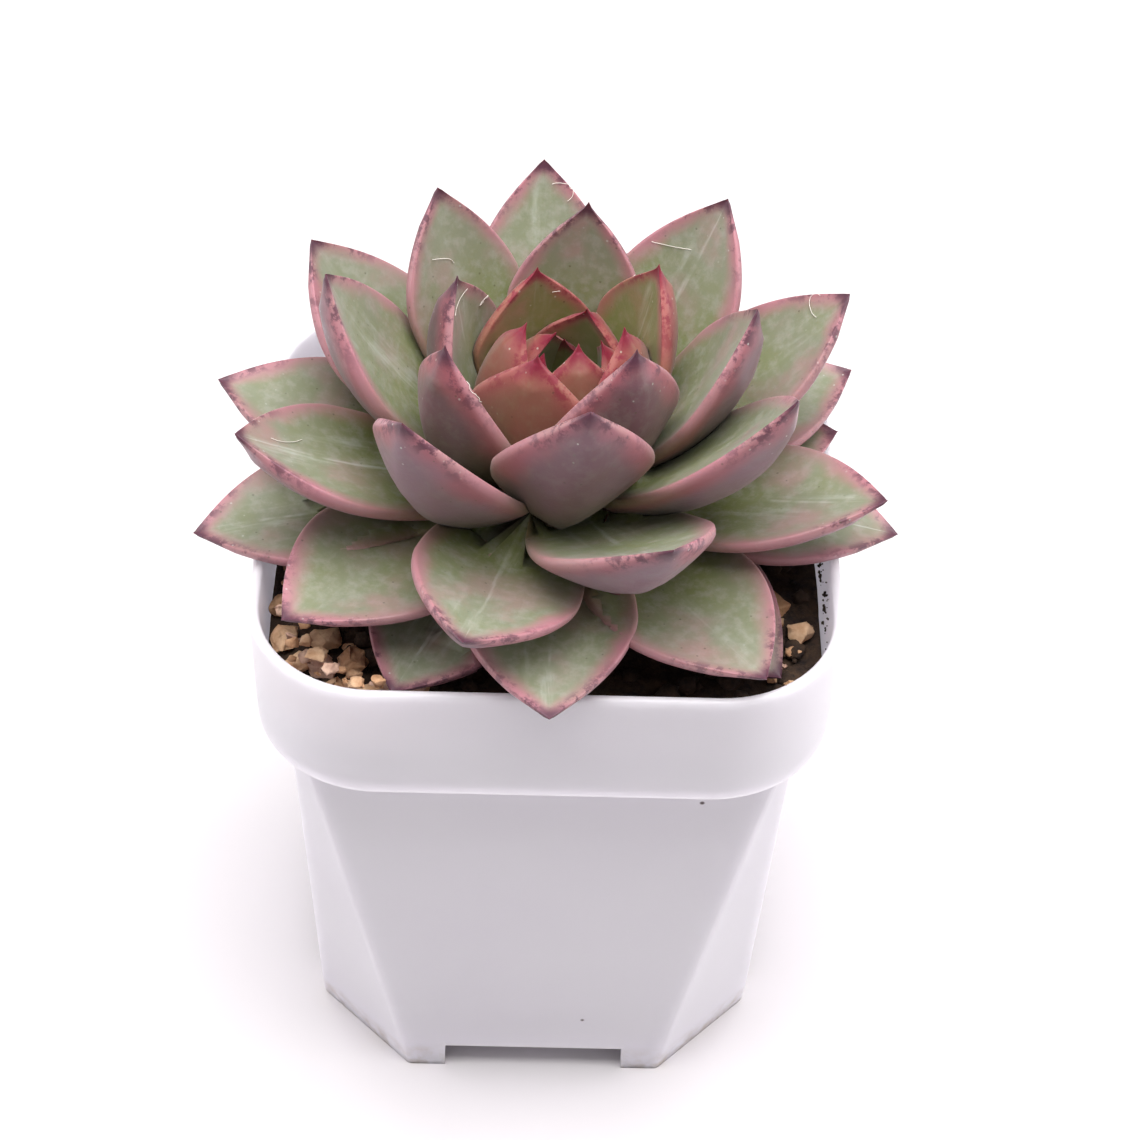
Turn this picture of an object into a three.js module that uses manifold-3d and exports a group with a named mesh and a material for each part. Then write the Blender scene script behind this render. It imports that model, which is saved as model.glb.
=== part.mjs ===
// A rosette succulent in a square 7 cm nursery pot, in millimetres, +Z up, the pot's front towards -Y.
// The pot stands on its foot and is filled with compost. The leaves leave one short stem a golden angle
// apart, the oldest resting on the lip. Every leaf, stone and moulding is one closed solid of its own.
import * as THREE from "three";
import { ConvexGeometry } from "three/addons/geometries/ConvexGeometry.js";
import { mergeVertices } from "three/addons/utils/BufferGeometryUtils.js";
import Module from "manifold-3d";

const wasm = await Module();
wasm.setup();
const { Manifold, Mesh: SolidMesh } = wasm;

// ---------------------------------------------------------------- driving dimensions
const POT_WIDTH = 70; // across the flats of the rim band, at the lip
const POT_HEIGHT = 79; // foot to lip
const BAND_HEIGHT = 17.5; // depth of the rim band
const BAND_TAPER = 0.4; // how far each side of the band leans in on its way down
const BAND_CORNER = 15; // plan radius of the band's corners
const BAND_OVERHANG = 5.1; // how far the band stands out from the body under it
const BODY_TAPER = 1.3; // how far each side of the body leans in down to the foot
const FOOT_FACET = 12; // what the three-cornered facet takes off each side at the foot
const SHOULDER_FACET = 1.5; // what is left of that facet under the band
const WALL = 1.2; // moulded wall
const LIP_ROUNDING = 0.5; // soft edge of the lip
const NOTCH_WIDTH = 23.4; // drainage notch in the middle of each side of the foot
const NOTCH_HEIGHT = 4.3;
const FLOOR_HEIGHT = 5; // underside of the pot's floor above the table
const DRAIN_HOLE = 6; // diameter of a drain hole in the floor
const DRAIN_SPACING = 28; // between neighbouring drain holes
const SOIL_BELOW_LIP = 8.5;
const CLEARANCE = 0.3; // air between neighbouring pieces

const STEM_RADIUS = 3.2; // where the leaves join it
const STEM_FOOT_RADIUS = 3.4; // where it leaves the soil
const STEM_ROOTED = 6; // how deep the stem goes into the soil
const CROWN_ABOVE_LIP = 7; // the youngest leaf's node
const NODE_SPACING = 0.17; // from one leaf's node to the next, down the stem
const AXIS_BACK = 0.6; // the plant stands a hair behind the middle of the pot
const LEAN_RIGHT = 0.08; // drift of the growing axis for each mm of height
const LEAN_FRONT = 0.06;

const LEAF_COUNT = 46;
const LEAF_WIDTH = 19.5; // a full-grown leaf, margin to margin
const LEAF_THICKNESS = 5.4; // the same leaf through the deepest part of its keel
const BUD_LEAF_WIDTH = 6; // the youngest leaf
const BUD_LEAF_THICKNESS = 2.4;
const FULL_REACH = 39.5; // oldest leaf, hub to tip
const BUD_REACH = 9; // youngest leaf, hub to tip
const GOLDEN_ANGLE = 137.508; // degrees from one leaf to the next
const FIRST_LEAF_ANGLE = 312; // heading of the youngest leaf, degrees from +X

// ---------------------------------------------------------------- small helpers
const { degToRad: rad, lerp, clamp } = THREE.MathUtils;

// A closed three.js geometry as a solid that can be cut and joined.
function solidOf(geometry) {
  const bare = new THREE.BufferGeometry();
  bare.setAttribute("position", geometry.getAttribute("position"));
  bare.setIndex(geometry.index);
  const merged = mergeVertices(bare, 1e-4);
  const solid = new Manifold(
    new SolidMesh({
      numProp: 3,
      vertProperties: new Float32Array(merged.getAttribute("position").array),
      triVerts: new Uint32Array(merged.index.array),
    }),
  );
  return solid;
}

// Rings of equal length, lowest first and each running anticlockwise seen from the last one, skinned
// into one closed geometry with a fan at each end.
function loft(rings) {
  const size = rings[0].length;
  const last = (rings.length - 1) * size;
  const points = rings.flat();
  const middle = (ring) => [0, 1, 2].map((k) => ring.reduce((sum, p) => sum + p[k], 0) / size);
  const startPole = points.push(middle(rings[0])) - 1;
  const endPole = points.push(middle(rings[rings.length - 1])) - 1;
  const faces = [];
  for (let j = 0; j < size; j++) {
    const next = (j + 1) % size;
    for (let base = 0; base < last; base += size) {
      faces.push(base + j, base + next, base + size + next);
      faces.push(base + j, base + size + next, base + size + j);
    }
    faces.push(startPole, next, j);
    faces.push(endPole, last + j, last + next);
  }
  const geometry = new THREE.BufferGeometry();
  geometry.setAttribute("position", new THREE.BufferAttribute(new Float32Array(points.flat()), 3));
  geometry.setIndex(faces);
  return geometry;
}

const loftSolid = (rings) => solidOf(loft(rings));
const unite = (...solids) => Manifold.union(solids.flat());

function box(width, depth, height, z) {
  return solidOf(new THREE.BoxGeometry(width, depth, height)).translate([0, 0, z + height / 2]);
}

function post(radius, height, x, y, z) {
  const upright = new THREE.CylinderGeometry(radius, radius, height, 20).rotateX(Math.PI / 2);
  return solidOf(upright).translate([x, y, z + height / 2]);
}

// Where a neighbour cuts a piece right through, the larger part is the piece.
function biggest(solid) {
  return solid.decompose().reduce((a, b) => (b.volume() > a.volume() ? b : a));
}

// A piece with its neighbours cut away. The specks of surface that a cut leaves are smoothed out, and
// the second cut takes back what the smoothing let out. The slivers that it leaves in turn are closed
// up, which moves the surface by far less than the clearance.
const SMALLEST_DETAIL = 0.15;
const SLIVER = 0.01;
function trimmed(solid, neighbours) {
  const smooth = biggest(solid.subtract(neighbours)).simplify(SMALLEST_DETAIL);
  return biggest(smooth.subtract(neighbours)).simplify(SLIVER);
}

// ---------------------------------------------------------------- outlines of the pot
const bandBottom = POT_HEIGHT - BAND_HEIGHT;

function roundSquare(half, radius, z) {
  const steps = 6;
  const ring = [];
  for (let corner = 0; corner < 4; corner++)
    for (let i = 0; i <= steps; i++) {
      const angle = rad(90 * corner + (90 * i) / steps);
      const right = corner === 0 || corner === 3 ? 1 : -1;
      const back = corner < 2 ? 1 : -1;
      ring.push([
        right * (half - radius) + radius * Math.cos(angle),
        back * (half - radius) + radius * Math.sin(angle),
        z,
      ]);
    }
  return ring;
}

function cutSquare(half, facet, z) {
  const flat = half - facet;
  const quarter = [[half, flat], [flat, half]];
  const ring = [];
  for (let side = 0; side < 4; side++)
    for (const [a, b] of quarter) {
      const [x, y] = [[a, b], [-b, a], [-a, -b], [b, -a]][side];
      ring.push([x, y, z]);
    }
  return ring;
}

// Outline of the rim band at height z, set in from the outside by inset.
function bandRing(z, inset) {
  const half = POT_WIDTH / 2 - BAND_TAPER * clamp((POT_HEIGHT - z) / BAND_HEIGHT, 0, 1);
  return roundSquare(half - inset, BAND_CORNER - inset, z);
}

// Outline of the body: the corner facets narrow from the foot upwards and all but vanish at the band.
function bodyRing(z, inset) {
  const up = clamp(z / bandBottom, 0, 1);
  const half = POT_WIDTH / 2 - BAND_OVERHANG - BODY_TAPER * (1 - up);
  const facet = lerp(FOOT_FACET, SHOULDER_FACET, up);
  return cutSquare(half - inset, Math.max(facet - 0.6 * inset, 0.8), z);
}

// ---------------------------------------------------------------- pot
function makePot() {
  const over = 1; // how far a cutter runs past the face that it cuts
  const wide = 2 * POT_WIDTH;
  const body = loftSolid([bodyRing(0, 0), bodyRing(bandBottom + over / 2, 0)]);
  const band = loftSolid([
    bandRing(bandBottom, LIP_ROUNDING),
    bandRing(bandBottom + LIP_ROUNDING, 0),
    bandRing(POT_HEIGHT - LIP_ROUNDING, 0),
    bandRing(POT_HEIGHT - 0.25 * LIP_ROUNDING, 0.25 * LIP_ROUNDING),
    bandRing(POT_HEIGHT, 0.9 * LIP_ROUNDING),
  ]);
  const bandInside = loftSolid([
    bandRing(bandBottom + WALL, WALL),
    bandRing(POT_HEIGHT - LIP_ROUNDING, WALL),
    bandRing(POT_HEIGHT + over, WALL - LIP_ROUNDING),
  ]);
  const bodyInside = loftSolid([
    bodyRing(FLOOR_HEIGHT + WALL, WALL),
    bodyRing(bandBottom + WALL + over, WALL),
  ]);
  const underside = loftSolid([bodyRing(-over, WALL), bodyRing(FLOOR_HEIGHT, WALL)]);
  const notches = unite(
    box(NOTCH_WIDTH, wide, NOTCH_HEIGHT + over, -over),
    box(wide, NOTCH_WIDTH, NOTCH_HEIGHT + over, -over),
  );
  const holes = [];
  for (const x of [-1, 1])
    for (const y of [-1, 1]) {
      const [px, py] = [(x * DRAIN_SPACING) / 2, (y * DRAIN_SPACING) / 2];
      holes.push(post(DRAIN_HOLE / 2, WALL + 2 * over, px, py, FLOOR_HEIGHT - over));
    }
  return unite(body, band).subtract(unite(bandInside, bodyInside, underside, notches, holes));
}

// The lip and its clearance: the ring of space that a leaf lying across the lip must leave.
function makeLipSpace() {
  const outer = loftSolid([
    bandRing(bandBottom, -CLEARANCE),
    bandRing(POT_HEIGHT + CLEARANCE, -CLEARANCE),
  ]);
  const inner = loftSolid([
    bandRing(bandBottom - 1, WALL + CLEARANCE),
    bandRing(POT_HEIGHT + 1, WALL + CLEARANCE),
  ]);
  return outer.subtract(inner);
}

// ---------------------------------------------------------------- growing axis and stem
const crown = POT_HEIGHT + CROWN_ABOVE_LIP;
const nodeHeight = (n) => crown - NODE_SPACING * n;

// The plant's axis at height z: it leans a little towards the right and the front.
function axisAt(z) {
  const rise = z - (crown - 2);
  return [LEAN_RIGHT * rise, AXIS_BACK - LEAN_FRONT * rise];
}

const soilTop = POT_HEIGHT - SOIL_BELOW_LIP;

function makeStem() {
  const profile = [
    [soilTop - STEM_ROOTED, 0.65 * STEM_FOOT_RADIUS],
    [soilTop + 1, STEM_FOOT_RADIUS],
    [nodeHeight(LEAF_COUNT), STEM_RADIUS],
    [nodeHeight(8), 0.8 * STEM_RADIUS],
    [nodeHeight(0) - 1, 0.3 * STEM_RADIUS],
  ];
  const sides = 12;
  const rings = profile.map(([z, radius]) => {
    const [x, y] = axisAt(z);
    return Array.from({ length: sides }, (_, i) => {
      const angle = (2 * Math.PI * i) / sides;
      return [x + radius * Math.cos(angle), y + radius * Math.sin(angle), z];
    });
  });
  return loftSolid(rings);
}

// ---------------------------------------------------------------- soil
// Heaped a little round the stem and uneven everywhere else.
function soilHeight(x, y) {
  const heap = 1.8 * Math.exp(-(x * x + y * y) / 200);
  const swell = 0.45 * Math.sin(0.31 * x + 1) * Math.cos(0.27 * y - 0.4);
  return soilTop + heap + swell + 0.3 * Math.sin(0.7 * x - 0.5 * y);
}

function makeSoil() {
  const inset = WALL + CLEARANCE;
  const plug = loftSolid([
    bodyRing(FLOOR_HEIGHT + WALL + CLEARANCE, inset),
    bodyRing(bandBottom + WALL + 1, inset),
  ]);
  const edge = bandRing(bandBottom + WALL + CLEARANCE, inset);
  const surface = [1, 0.75, 0.5, 0.25].map((share) =>
    edge.map(([x, y]) => [x * share, y * share, soilHeight(x * share, y * share)]),
  );
  const [x, y] = axisAt(soilTop);
  const bore = post(STEM_FOOT_RADIUS + 2 * CLEARANCE, 2 * (STEM_ROOTED + 1), x, y, soilTop - STEM_ROOTED - 1);
  return unite(plug, loftSolid([edge, ...surface])).subtract(bore);
}

// ---------------------------------------------------------------- leaves
// How the plant grew, by the leaf's number n, youngest 0: young leaves stand up round the bud, and each
// older one is longer and lies further down.
const growth = (n, scale) => 1 - Math.exp(-n / scale);
const reachOf = (n) => lerp(BUD_REACH, FULL_REACH, growth(n, 11.3));
const widthOf = (n) => lerp(BUD_LEAF_WIDTH, LEAF_WIDTH, growth(n, 7));
const thicknessOf = (n) => lerp(BUD_LEAF_THICKNESS, LEAF_THICKNESS, growth(n, 9));
const riseOf = (n) => -26 + 114 * Math.exp(-Math.pow(n / 28.2, 2.2));
const hubHeight = (n) => crown - 4 + n / 6;

// How far a leaf bends along its length, in degrees: most cup inwards, the oldest arch over the lip.
function curlOf(n) {
  if (n < 12) return 26;
  if (n < 28) return 34;
  return Math.max(21 - 4 * (n - 28), -11);
}

// No leaf grows quite to rule: [turned deg, longer mm, raised deg, broader mm, rolled deg]
const WANDER = {
  4: [-1, 2, 7],
  5: [4, 3, 1],
  6: [1, 0, 3],
  7: [0, 0, 2],
  9: [5, -2, -4],
  10: [1, -1, -3],
  12: [2, -2, -5],
  14: [7, -1, 1, -1.6],
  15: [3, -1, -2, -2],
  16: [-1, 0, -3],
  17: [3, 1, -4, -1.6],
  18: [7, 1, 2],
  20: [-4, 2, 1],
  21: [5, 2, 1],
  22: [-1, -1, -1, -1.8],
  23: [-4, 0, 9],
  24: [1, 0, 1],
  26: [2, 0, 3, 1.4],
  27: [0, -6, -4],
  28: [-3, 1, 2],
  29: [-2, 1, -4],
  30: [0, -5, -4],
  31: [1, 0, 1, 1, -10],
  32: [-8, 0, -9],
  34: [-2, 2, -6, 1],
  35: [0, -5, 0],
  36: [1, 0, -1, 2],
  37: [-11, 2, -4],
  38: [0, -6, 0],
  39: [-4, 0, 2, 1],
  40: [0, -3, 2],
  41: [5, 2, 2, 1],
  42: [-11, 0, -7],
  43: [0, -3, 0],
  44: [0, -3, -4],
  45: [-5, -4, 4],
};

// Half the width along the leaf: a narrow foot, broadest past the middle, round shoulders, a point.
function widthShare(s) {
  const foot = 0.36;
  const broadest = 0.6;
  if (s < broadest) return lerp(foot, 1, Math.pow(Math.sin((Math.PI / 2) * (s / broadest)), 1.2));
  return Math.pow(1 - Math.pow((s - broadest) / (1 - broadest), 1.8), 0.9);
}

// Depth of the keel along the leaf: deepest before the middle, thin at the point.
function depthShare(s) {
  const full = 0.42 + 0.58 * Math.sin(Math.PI * (0.08 + 0.9 * s)) - 0.34 * s * s;
  return s > 0.9 ? full * lerp(0.1, 1, Math.sqrt((1 - s) / 0.1)) : full;
}

const STATIONS = [0, 0.18, 0.4, 0.62, 0.77, 0.88, 0.95, 1];
// One cross section, as shares of the half width: the flat face, then the keeled underside.
const FACE = [-1, 0, 1];
const KEEL = [0.92, 0.5, 0, -0.5, -0.92];

// The midrib of leaf n in the upright plane of its heading, an arc from its node to its tip:
// s from 0 to 1 gives the distance out, the height and the slope there.
function midrib(n, longer, raised) {
  const reach = reachOf(n) + longer;
  const rise = rad(riseOf(n) + raised);
  const start = [STEM_RADIUS + CLEARANCE, nodeHeight(n)];
  const tip = [STEM_RADIUS + reach * Math.cos(rise), hubHeight(n) + reach * Math.sin(rise)];
  const chord = Math.hypot(tip[0] - start[0], tip[1] - start[1]);
  const slope = Math.atan2(tip[1] - start[1], tip[0] - start[0]);
  const curl = rad(curlOf(n));
  const radius = chord / (2 * Math.sin(curl / 2));
  const first = slope - curl / 2;
  return (s) => {
    const angle = first + curl * s;
    const out = start[0] + radius * (Math.sin(angle) - Math.sin(first));
    const height = start[1] - radius * (Math.cos(angle) - Math.cos(first));
    return [out, height, angle];
  };
}

// Leaf n as it grew, swollen by grow all over.
function makeLeaf(n, grow = 0) {
  const [turned, longer, raised, broader = 0, rolled = 0] = WANDER[n] ?? [0, 0, 0];
  const heading = rad(FIRST_LEAF_ANGLE + GOLDEN_ANGLE * n + turned);
  const roll = rad(rolled);
  const half = (widthOf(n) + broader) / 2;
  const along = midrib(n, longer, raised);
  const rings = STATIONS.map((s) => {
    const [out, height, slope] = along(s);
    const w = half * widthShare(s) + 0.18 + grow;
    const keel = thicknessOf(n) * depthShare(s);
    const margin = Math.min(0.5 + 0.25 * keel, 1.3) * (s > 0.9 ? 0.55 : 1);
    const spot = (share, depth) => {
      const aside = share * w;
      const up = 0.1 * w * share * share - depth;
      const across = aside * Math.cos(roll) - up * Math.sin(roll);
      const lift = aside * Math.sin(roll) + up * Math.cos(roll);
      const r = out - Math.sin(slope) * lift + (grow && s === 1 ? Math.cos(slope) * grow : 0);
      const z = height + Math.cos(slope) * lift + (grow && s === 1 ? Math.sin(slope) * grow : 0);
      const [x, y] = axisAt(z);
      return [
        x + r * Math.cos(heading) - across * Math.sin(heading),
        y + r * Math.sin(heading) + across * Math.cos(heading),
        z,
      ];
    };
    const face = FACE.map((share) => spot(share, -grow));
    const under = KEEL.map((share) => spot(share, margin + keel * (1 - Math.abs(share) ** 1.7) + grow));
    return [...face, ...under].reverse();
  });
  return loftSolid(rings);
}

// ---------------------------------------------------------------- gravel
// Angular gravel gathered in the near left corner of the pot, and two strays on the right:
// [side of the pot, in from that wall, in from the front wall, length, turned deg]
const STONES = [
  [-1, 2.5, 20.2, 5.2, 20],
  [-1, 2.7, 15.1, 4.8, 75],
  [-1, 4.1, 10.9, 4.8, 40],
  [-1, 7.3, 10.5, 5.6, 120],
  [-1, 7.5, 15.1, 5, 10],
  [-1, 11.1, 11.1, 5.4, 60],
  [-1, 8.9, 6.5, 4.8, 150],
  [-1, 13.1, 6.1, 4.6, 25],
  [-1, 5.7, 6.5, 4.2, 95],
  [1, 3.1, 18.2, 4.6, 35],
  [1, 6.1, 22.2, 4.6, 110],
];

function makeStone([side, fromWall, fromFront, length, turned], seed, grow = 0) {
  const inside = POT_WIDTH / 2 - WALL;
  const [x, y] = [side * (inside - fromWall), fromFront - inside];
  const corners = 12;
  const points = [];
  for (let i = 0; i < corners; i++) {
    const level = 1 - (2 * (i + 0.5)) / corners;
    const ring = Math.sqrt(1 - level * level);
    const angle = rad(GOLDEN_ANGLE * i + 71 * seed);
    const bump = 1 + 0.16 * Math.sin(5.3 * i + 2.1 * seed) + 0.08 * Math.cos(3.7 * i * seed + 1);
    const size = (share) => share * length * bump + grow;
    points.push(new THREE.Vector3(
      size(0.5) * ring * Math.cos(angle),
      size(0.4) * ring * Math.sin(angle),
      size(0.32) * level,
    ));
  }
  const tilt = [12 * Math.sin(seed), 9 * Math.cos(seed), turned];
  const bed = soilHeight(x, y) + 0.14 * length;
  return solidOf(new ConvexGeometry(points)).rotate(tilt).translate([x, y, bed]);
}

// ---------------------------------------------------------------- the plant in its pot
const finish = {
  pot: { color: "#e9e6ea", roughness: 0.45 },
  soil: { color: "#3b2a20", roughness: 1 },
  stem: { color: "#7a6a4c", roughness: 0.9 },
  leaf: { color: "#8f9c80", roughness: 0.6 },
  budLeaf: { color: "#a8656a", roughness: 0.55 },
  stone: { color: "#c9b192", roughness: 0.85 },
};

function meshOf(name, solid, look) {
  const { numVert, numProp, vertProperties, triVerts } = solid.getMesh();
  const positions = new Float32Array(numVert * 3);
  for (let i = 0; i < numVert; i++)
    positions.set(vertProperties.subarray(i * numProp, i * numProp + 3), i * 3);
  const geometry = new THREE.BufferGeometry();
  geometry.setAttribute("position", new THREE.BufferAttribute(positions, 3));
  geometry.setIndex(new THREE.BufferAttribute(new Uint32Array(triVerts), 1));
  geometry.computeVertexNormals();
  const mesh = new THREE.Mesh(geometry, new THREE.MeshStandardMaterial({ ...look, metalness: 0 }));
  mesh.name = name;
  return mesh;
}

const numbered = (name, n) => `${name}_${String(n).padStart(2, "0")}`;

const pot = makePot();
const stem = makeStem();
const soil = makeSoil();
const fixed = unite(pot, makeLipSpace(), stem, soil, soil.translate([0, 0, CLEARANCE]));
const spacing = 1.2 * CLEARANCE; // a neighbour swollen by this leaves the clearance after smoothing

// The younger leaf keeps its shape, and an older one gives way where the two would meet.
const rosette = new THREE.Group();
const leafSpaces = [];
for (let n = 0; n < LEAF_COUNT; n++) {
  const leaf = trimmed(makeLeaf(n), unite(fixed, leafSpaces));
  rosette.add(meshOf(numbered("leaf", n + 1), leaf, n < 12 ? finish.budLeaf : finish.leaf));
  leafSpaces.push(makeLeaf(n, spacing));
}

const gravel = new THREE.Group();
const stoneSpaces = [];
STONES.forEach((stone, i) => {
  const whole = makeStone(stone, i + 1);
  const piece = trimmed(whole, unite(fixed, leafSpaces, stoneSpaces));
  gravel.add(meshOf(numbered("stone", i + 1), piece, finish.stone));
  stoneSpaces.push(makeStone(stone, i + 1, spacing));
});

const holder = new THREE.Group();
holder.add(
  meshOf("pot", pot, finish.pot),
  meshOf("potting_soil", soil, finish.soil),
  meshOf("stem", stem, finish.stem),
);

const plant = new THREE.Group();
plant.add(holder, rosette, gravel);

// The origin is the middle of the base of the whole plant's box.
const extent = new THREE.Box3().setFromObject(plant);
const centre = extent.getCenter(new THREE.Vector3());
plant.position.set(-centre.x, -centre.y, -extent.min.z);

const pottedSucculent = new THREE.Group();
pottedSucculent.add(plant);

export default pottedSucculent;
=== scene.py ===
# %% [markdown]
# # A rosette succulent in a nursery pot
#
# The plant is one short stem with thick, water-filled leaves round it in a spiral. It grows in peat
# compost in a square plastic pot, with gravel heaped at one corner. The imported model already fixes
# where each piece is and how big it is, and this script gives each one the surface that the real one
# has. The four innermost leaves are the exception: they're drawn longer and broader than their solids.

import math
import random

import bmesh
import bpy
import numpy as np
from mathutils import Matrix, Vector, noise
from mathutils.bvhtree import BVHTree


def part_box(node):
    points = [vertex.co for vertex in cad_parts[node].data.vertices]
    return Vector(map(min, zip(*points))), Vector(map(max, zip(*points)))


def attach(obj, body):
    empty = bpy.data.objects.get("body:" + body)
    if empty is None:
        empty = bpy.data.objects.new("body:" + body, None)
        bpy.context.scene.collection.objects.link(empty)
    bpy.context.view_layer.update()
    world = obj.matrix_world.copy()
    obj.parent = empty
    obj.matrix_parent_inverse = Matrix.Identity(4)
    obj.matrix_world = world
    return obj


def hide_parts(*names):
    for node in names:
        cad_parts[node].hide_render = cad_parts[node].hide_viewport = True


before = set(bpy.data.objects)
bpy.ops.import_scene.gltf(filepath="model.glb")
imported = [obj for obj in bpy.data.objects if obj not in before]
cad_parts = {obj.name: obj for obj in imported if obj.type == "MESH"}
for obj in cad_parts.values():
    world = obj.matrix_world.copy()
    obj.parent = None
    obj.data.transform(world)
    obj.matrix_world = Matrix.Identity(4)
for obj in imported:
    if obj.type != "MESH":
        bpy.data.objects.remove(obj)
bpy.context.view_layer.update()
print("nodes in the frame:", len(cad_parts))

# %% [markdown]
# ## Where things are
#
# The frame is in metres, but a plant in a small pot is easier to think about in millimetres. Shapes are
# worked out in millimetres from the middle of the pot's foot, and one helper takes them to the frame.
# The pot's own box says where that middle is, so nothing has to be lined up by eye.

# %% Millimetres from the middle of the pot
MM = 0.001
pot_low, pot_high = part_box("pot")
pot_middle = (pot_low + pot_high) / 2
POT_WIDTH = (pot_high.x - pot_low.x) / MM
POT_HEIGHT = (pot_high.z - pot_low.z) / MM


def to_frame(points):
    """Points in millimetres from the middle of the pot's foot, as points in the frame, in metres."""
    return np.asarray(points, float) * MM + np.array([pot_middle.x, pot_middle.y, pot_low.z])


print(f"pot {POT_WIDTH:.1f} mm wide and {POT_HEIGHT:.1f} mm high")

# %% [markdown]
# ## Turning rows of points into a skin
#
# Nearly every piece here is a stack of closed outlines with a skin over them: the pot, the compost and
# each leaf. Numpy works out all the points at once, and one helper makes the mesh. Numbers kept on the
# points, such as how far along a leaf each one is, let a material follow the way that the piece grew.

# %% Skin a stack of rings
def mesh_piece(name, points, faces, marks=None):
    """A mesh object from points in millimetres; marks are named numbers kept on the points."""
    mesh = bpy.data.meshes.new(name)
    mesh.from_pydata([tuple(p) for p in to_frame(points)], [], faces)
    for mark, values in (marks or {}).items():
        layer = mesh.attributes.new(mark, "FLOAT", "POINT")
        layer.data.foreach_set("value", np.asarray(values, np.float32))
    mesh.validate()
    mesh.update()
    piece = bpy.data.objects.new(name, mesh)
    bpy.context.scene.collection.objects.link(piece)
    return piece


def skin_faces(rows, size):
    """Faces of a skin over rows of rings with size points each, closed by a fan at each end."""
    faces = []
    for row in range(rows - 1):
        for j in range(size):
            a, b = row * size + j, row * size + (j + 1) % size
            faces.append((a, b, b + size, a + size))
    first, last = rows * size, rows * size + 1
    top = (rows - 1) * size
    for j in range(size):
        faces.append((first, (j + 1) % size, j))
        faces.append((last, top + j, top + (j + 1) % size))
    return faces


def skinned(name, rings, marks=None):
    """One closed piece over a list of rings, each an array of points in millimetres."""
    rings = np.asarray(rings, float)
    rows, size, _ = rings.shape
    ends = [rings[0].mean(axis=0), rings[-1].mean(axis=0)]
    points = np.vstack([rings.reshape(-1, 3), ends])
    kept = {}
    for mark, values in (marks or {}).items():
        values = np.asarray(values, float).reshape(rows, size)
        kept[mark] = np.append(values.ravel(), [values[0].mean(), values[-1].mean()])
    return mesh_piece(name, points, skin_faces(rows, size), kept)


def soften(piece, crease_degrees=180):
    """Smooth shading, with a hard line only where faces meet at more than that angle."""
    piece.data.polygons.foreach_set("use_smooth", [True] * len(piece.data.polygons))
    if crease_degrees < 180:
        piece.data.set_sharp_from_angle(angle=math.radians(crease_degrees))


def face_outwards(piece):
    """Turns a closed skin right side out. Its faces all turn the same way, so its volume tells which."""
    work = bmesh.new()
    work.from_mesh(piece.data)
    if work.calc_volume(signed=True) < 0:
        bmesh.ops.reverse_faces(work, faces=work.faces)
    work.to_mesh(piece.data)
    work.free()


# %% [markdown]
# ## Building a material out of nodes
#
# A material is a small graph. One helper adds a node, sets it up and wires it in, so a whole finish
# reads from top to bottom as what is laid over what. Colours are written as they look on a screen, and
# one function takes them to the linear light that the renderer adds up in.

# %% Colour and node helpers
def linear(hex_colour):
    """An sRGB hex colour as linear red, green, blue and alpha."""
    parts = [int(hex_colour[i:i + 2], 16) / 255 for i in (1, 3, 5)]
    return [p / 12.92 if p <= 0.04045 else ((p + 0.055) / 1.055) ** 2.4 for p in parts] + [1.0]


def fill(tree, node, **inputs):
    """Fills a node's inputs, each with a number, a hex colour, or a node or output to link from."""
    for key, value in inputs.items():
        index = int(key[2:]) if key.startswith("in") and key[2:].isdigit() else None
        socket = node.inputs[index] if index is not None else node.inputs[key.replace("_", " ")]
        if isinstance(value, bpy.types.Node):
            value = value.outputs[2] if value.bl_idname == "ShaderNodeMix" else value.outputs[0]
        if isinstance(value, bpy.types.NodeSocket):
            tree.links.new(value, socket)
        elif isinstance(value, str):
            socket.default_value = linear(value)
        else:
            socket.default_value = value


def add_node(tree, kind, settings=None, **inputs):
    """Adds a node with its settings and links."""
    node = tree.nodes.new(kind)
    for key, value in (settings or {}).items():
        setattr(node, key, value)
    fill(tree, node, **inputs)
    return node


def new_material(name):
    """An empty material: its node tree and its surface shader."""
    material = bpy.data.materials.new(name)
    material.use_nodes = True
    tree = material.node_tree
    return material, tree, tree.nodes["Principled BSDF"]


NOISE, RANGE, MATH, MIX = "ShaderNodeTexNoise", "ShaderNodeMapRange", "ShaderNodeMath", "ShaderNodeMix"
COLOURS, SMOOTH = {"data_type": "RGBA"}, {"interpolation_type": "SMOOTHSTEP"}
TIMES, PLUS = {"operation": "MULTIPLY"}, {"operation": "ADD"}

print("white stays white:", [round(c, 3) for c in linear("#ffffff")])

# %% [markdown]
# ## Camera, light and floor
#
# A small plant is looked at from close by and from above. A long lens from over a third of a metre
# keeps the leaves' proportions true. The light is what a white light tent gives: bright and even from
# all sides, with a little more from above, so the shadows are pale and soft-edged.

# %% Camera
LENS_MM, SENSOR_MM = 94.8, 36.0
CAMERA_DISTANCE = 376.1
CAMERA_ELEVATION, CAMERA_YAW, CAMERA_ROLL = 44.63, -1.26, 2.27
LOOKS_AT = [3.0, 0.0, 65.3]

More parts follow.
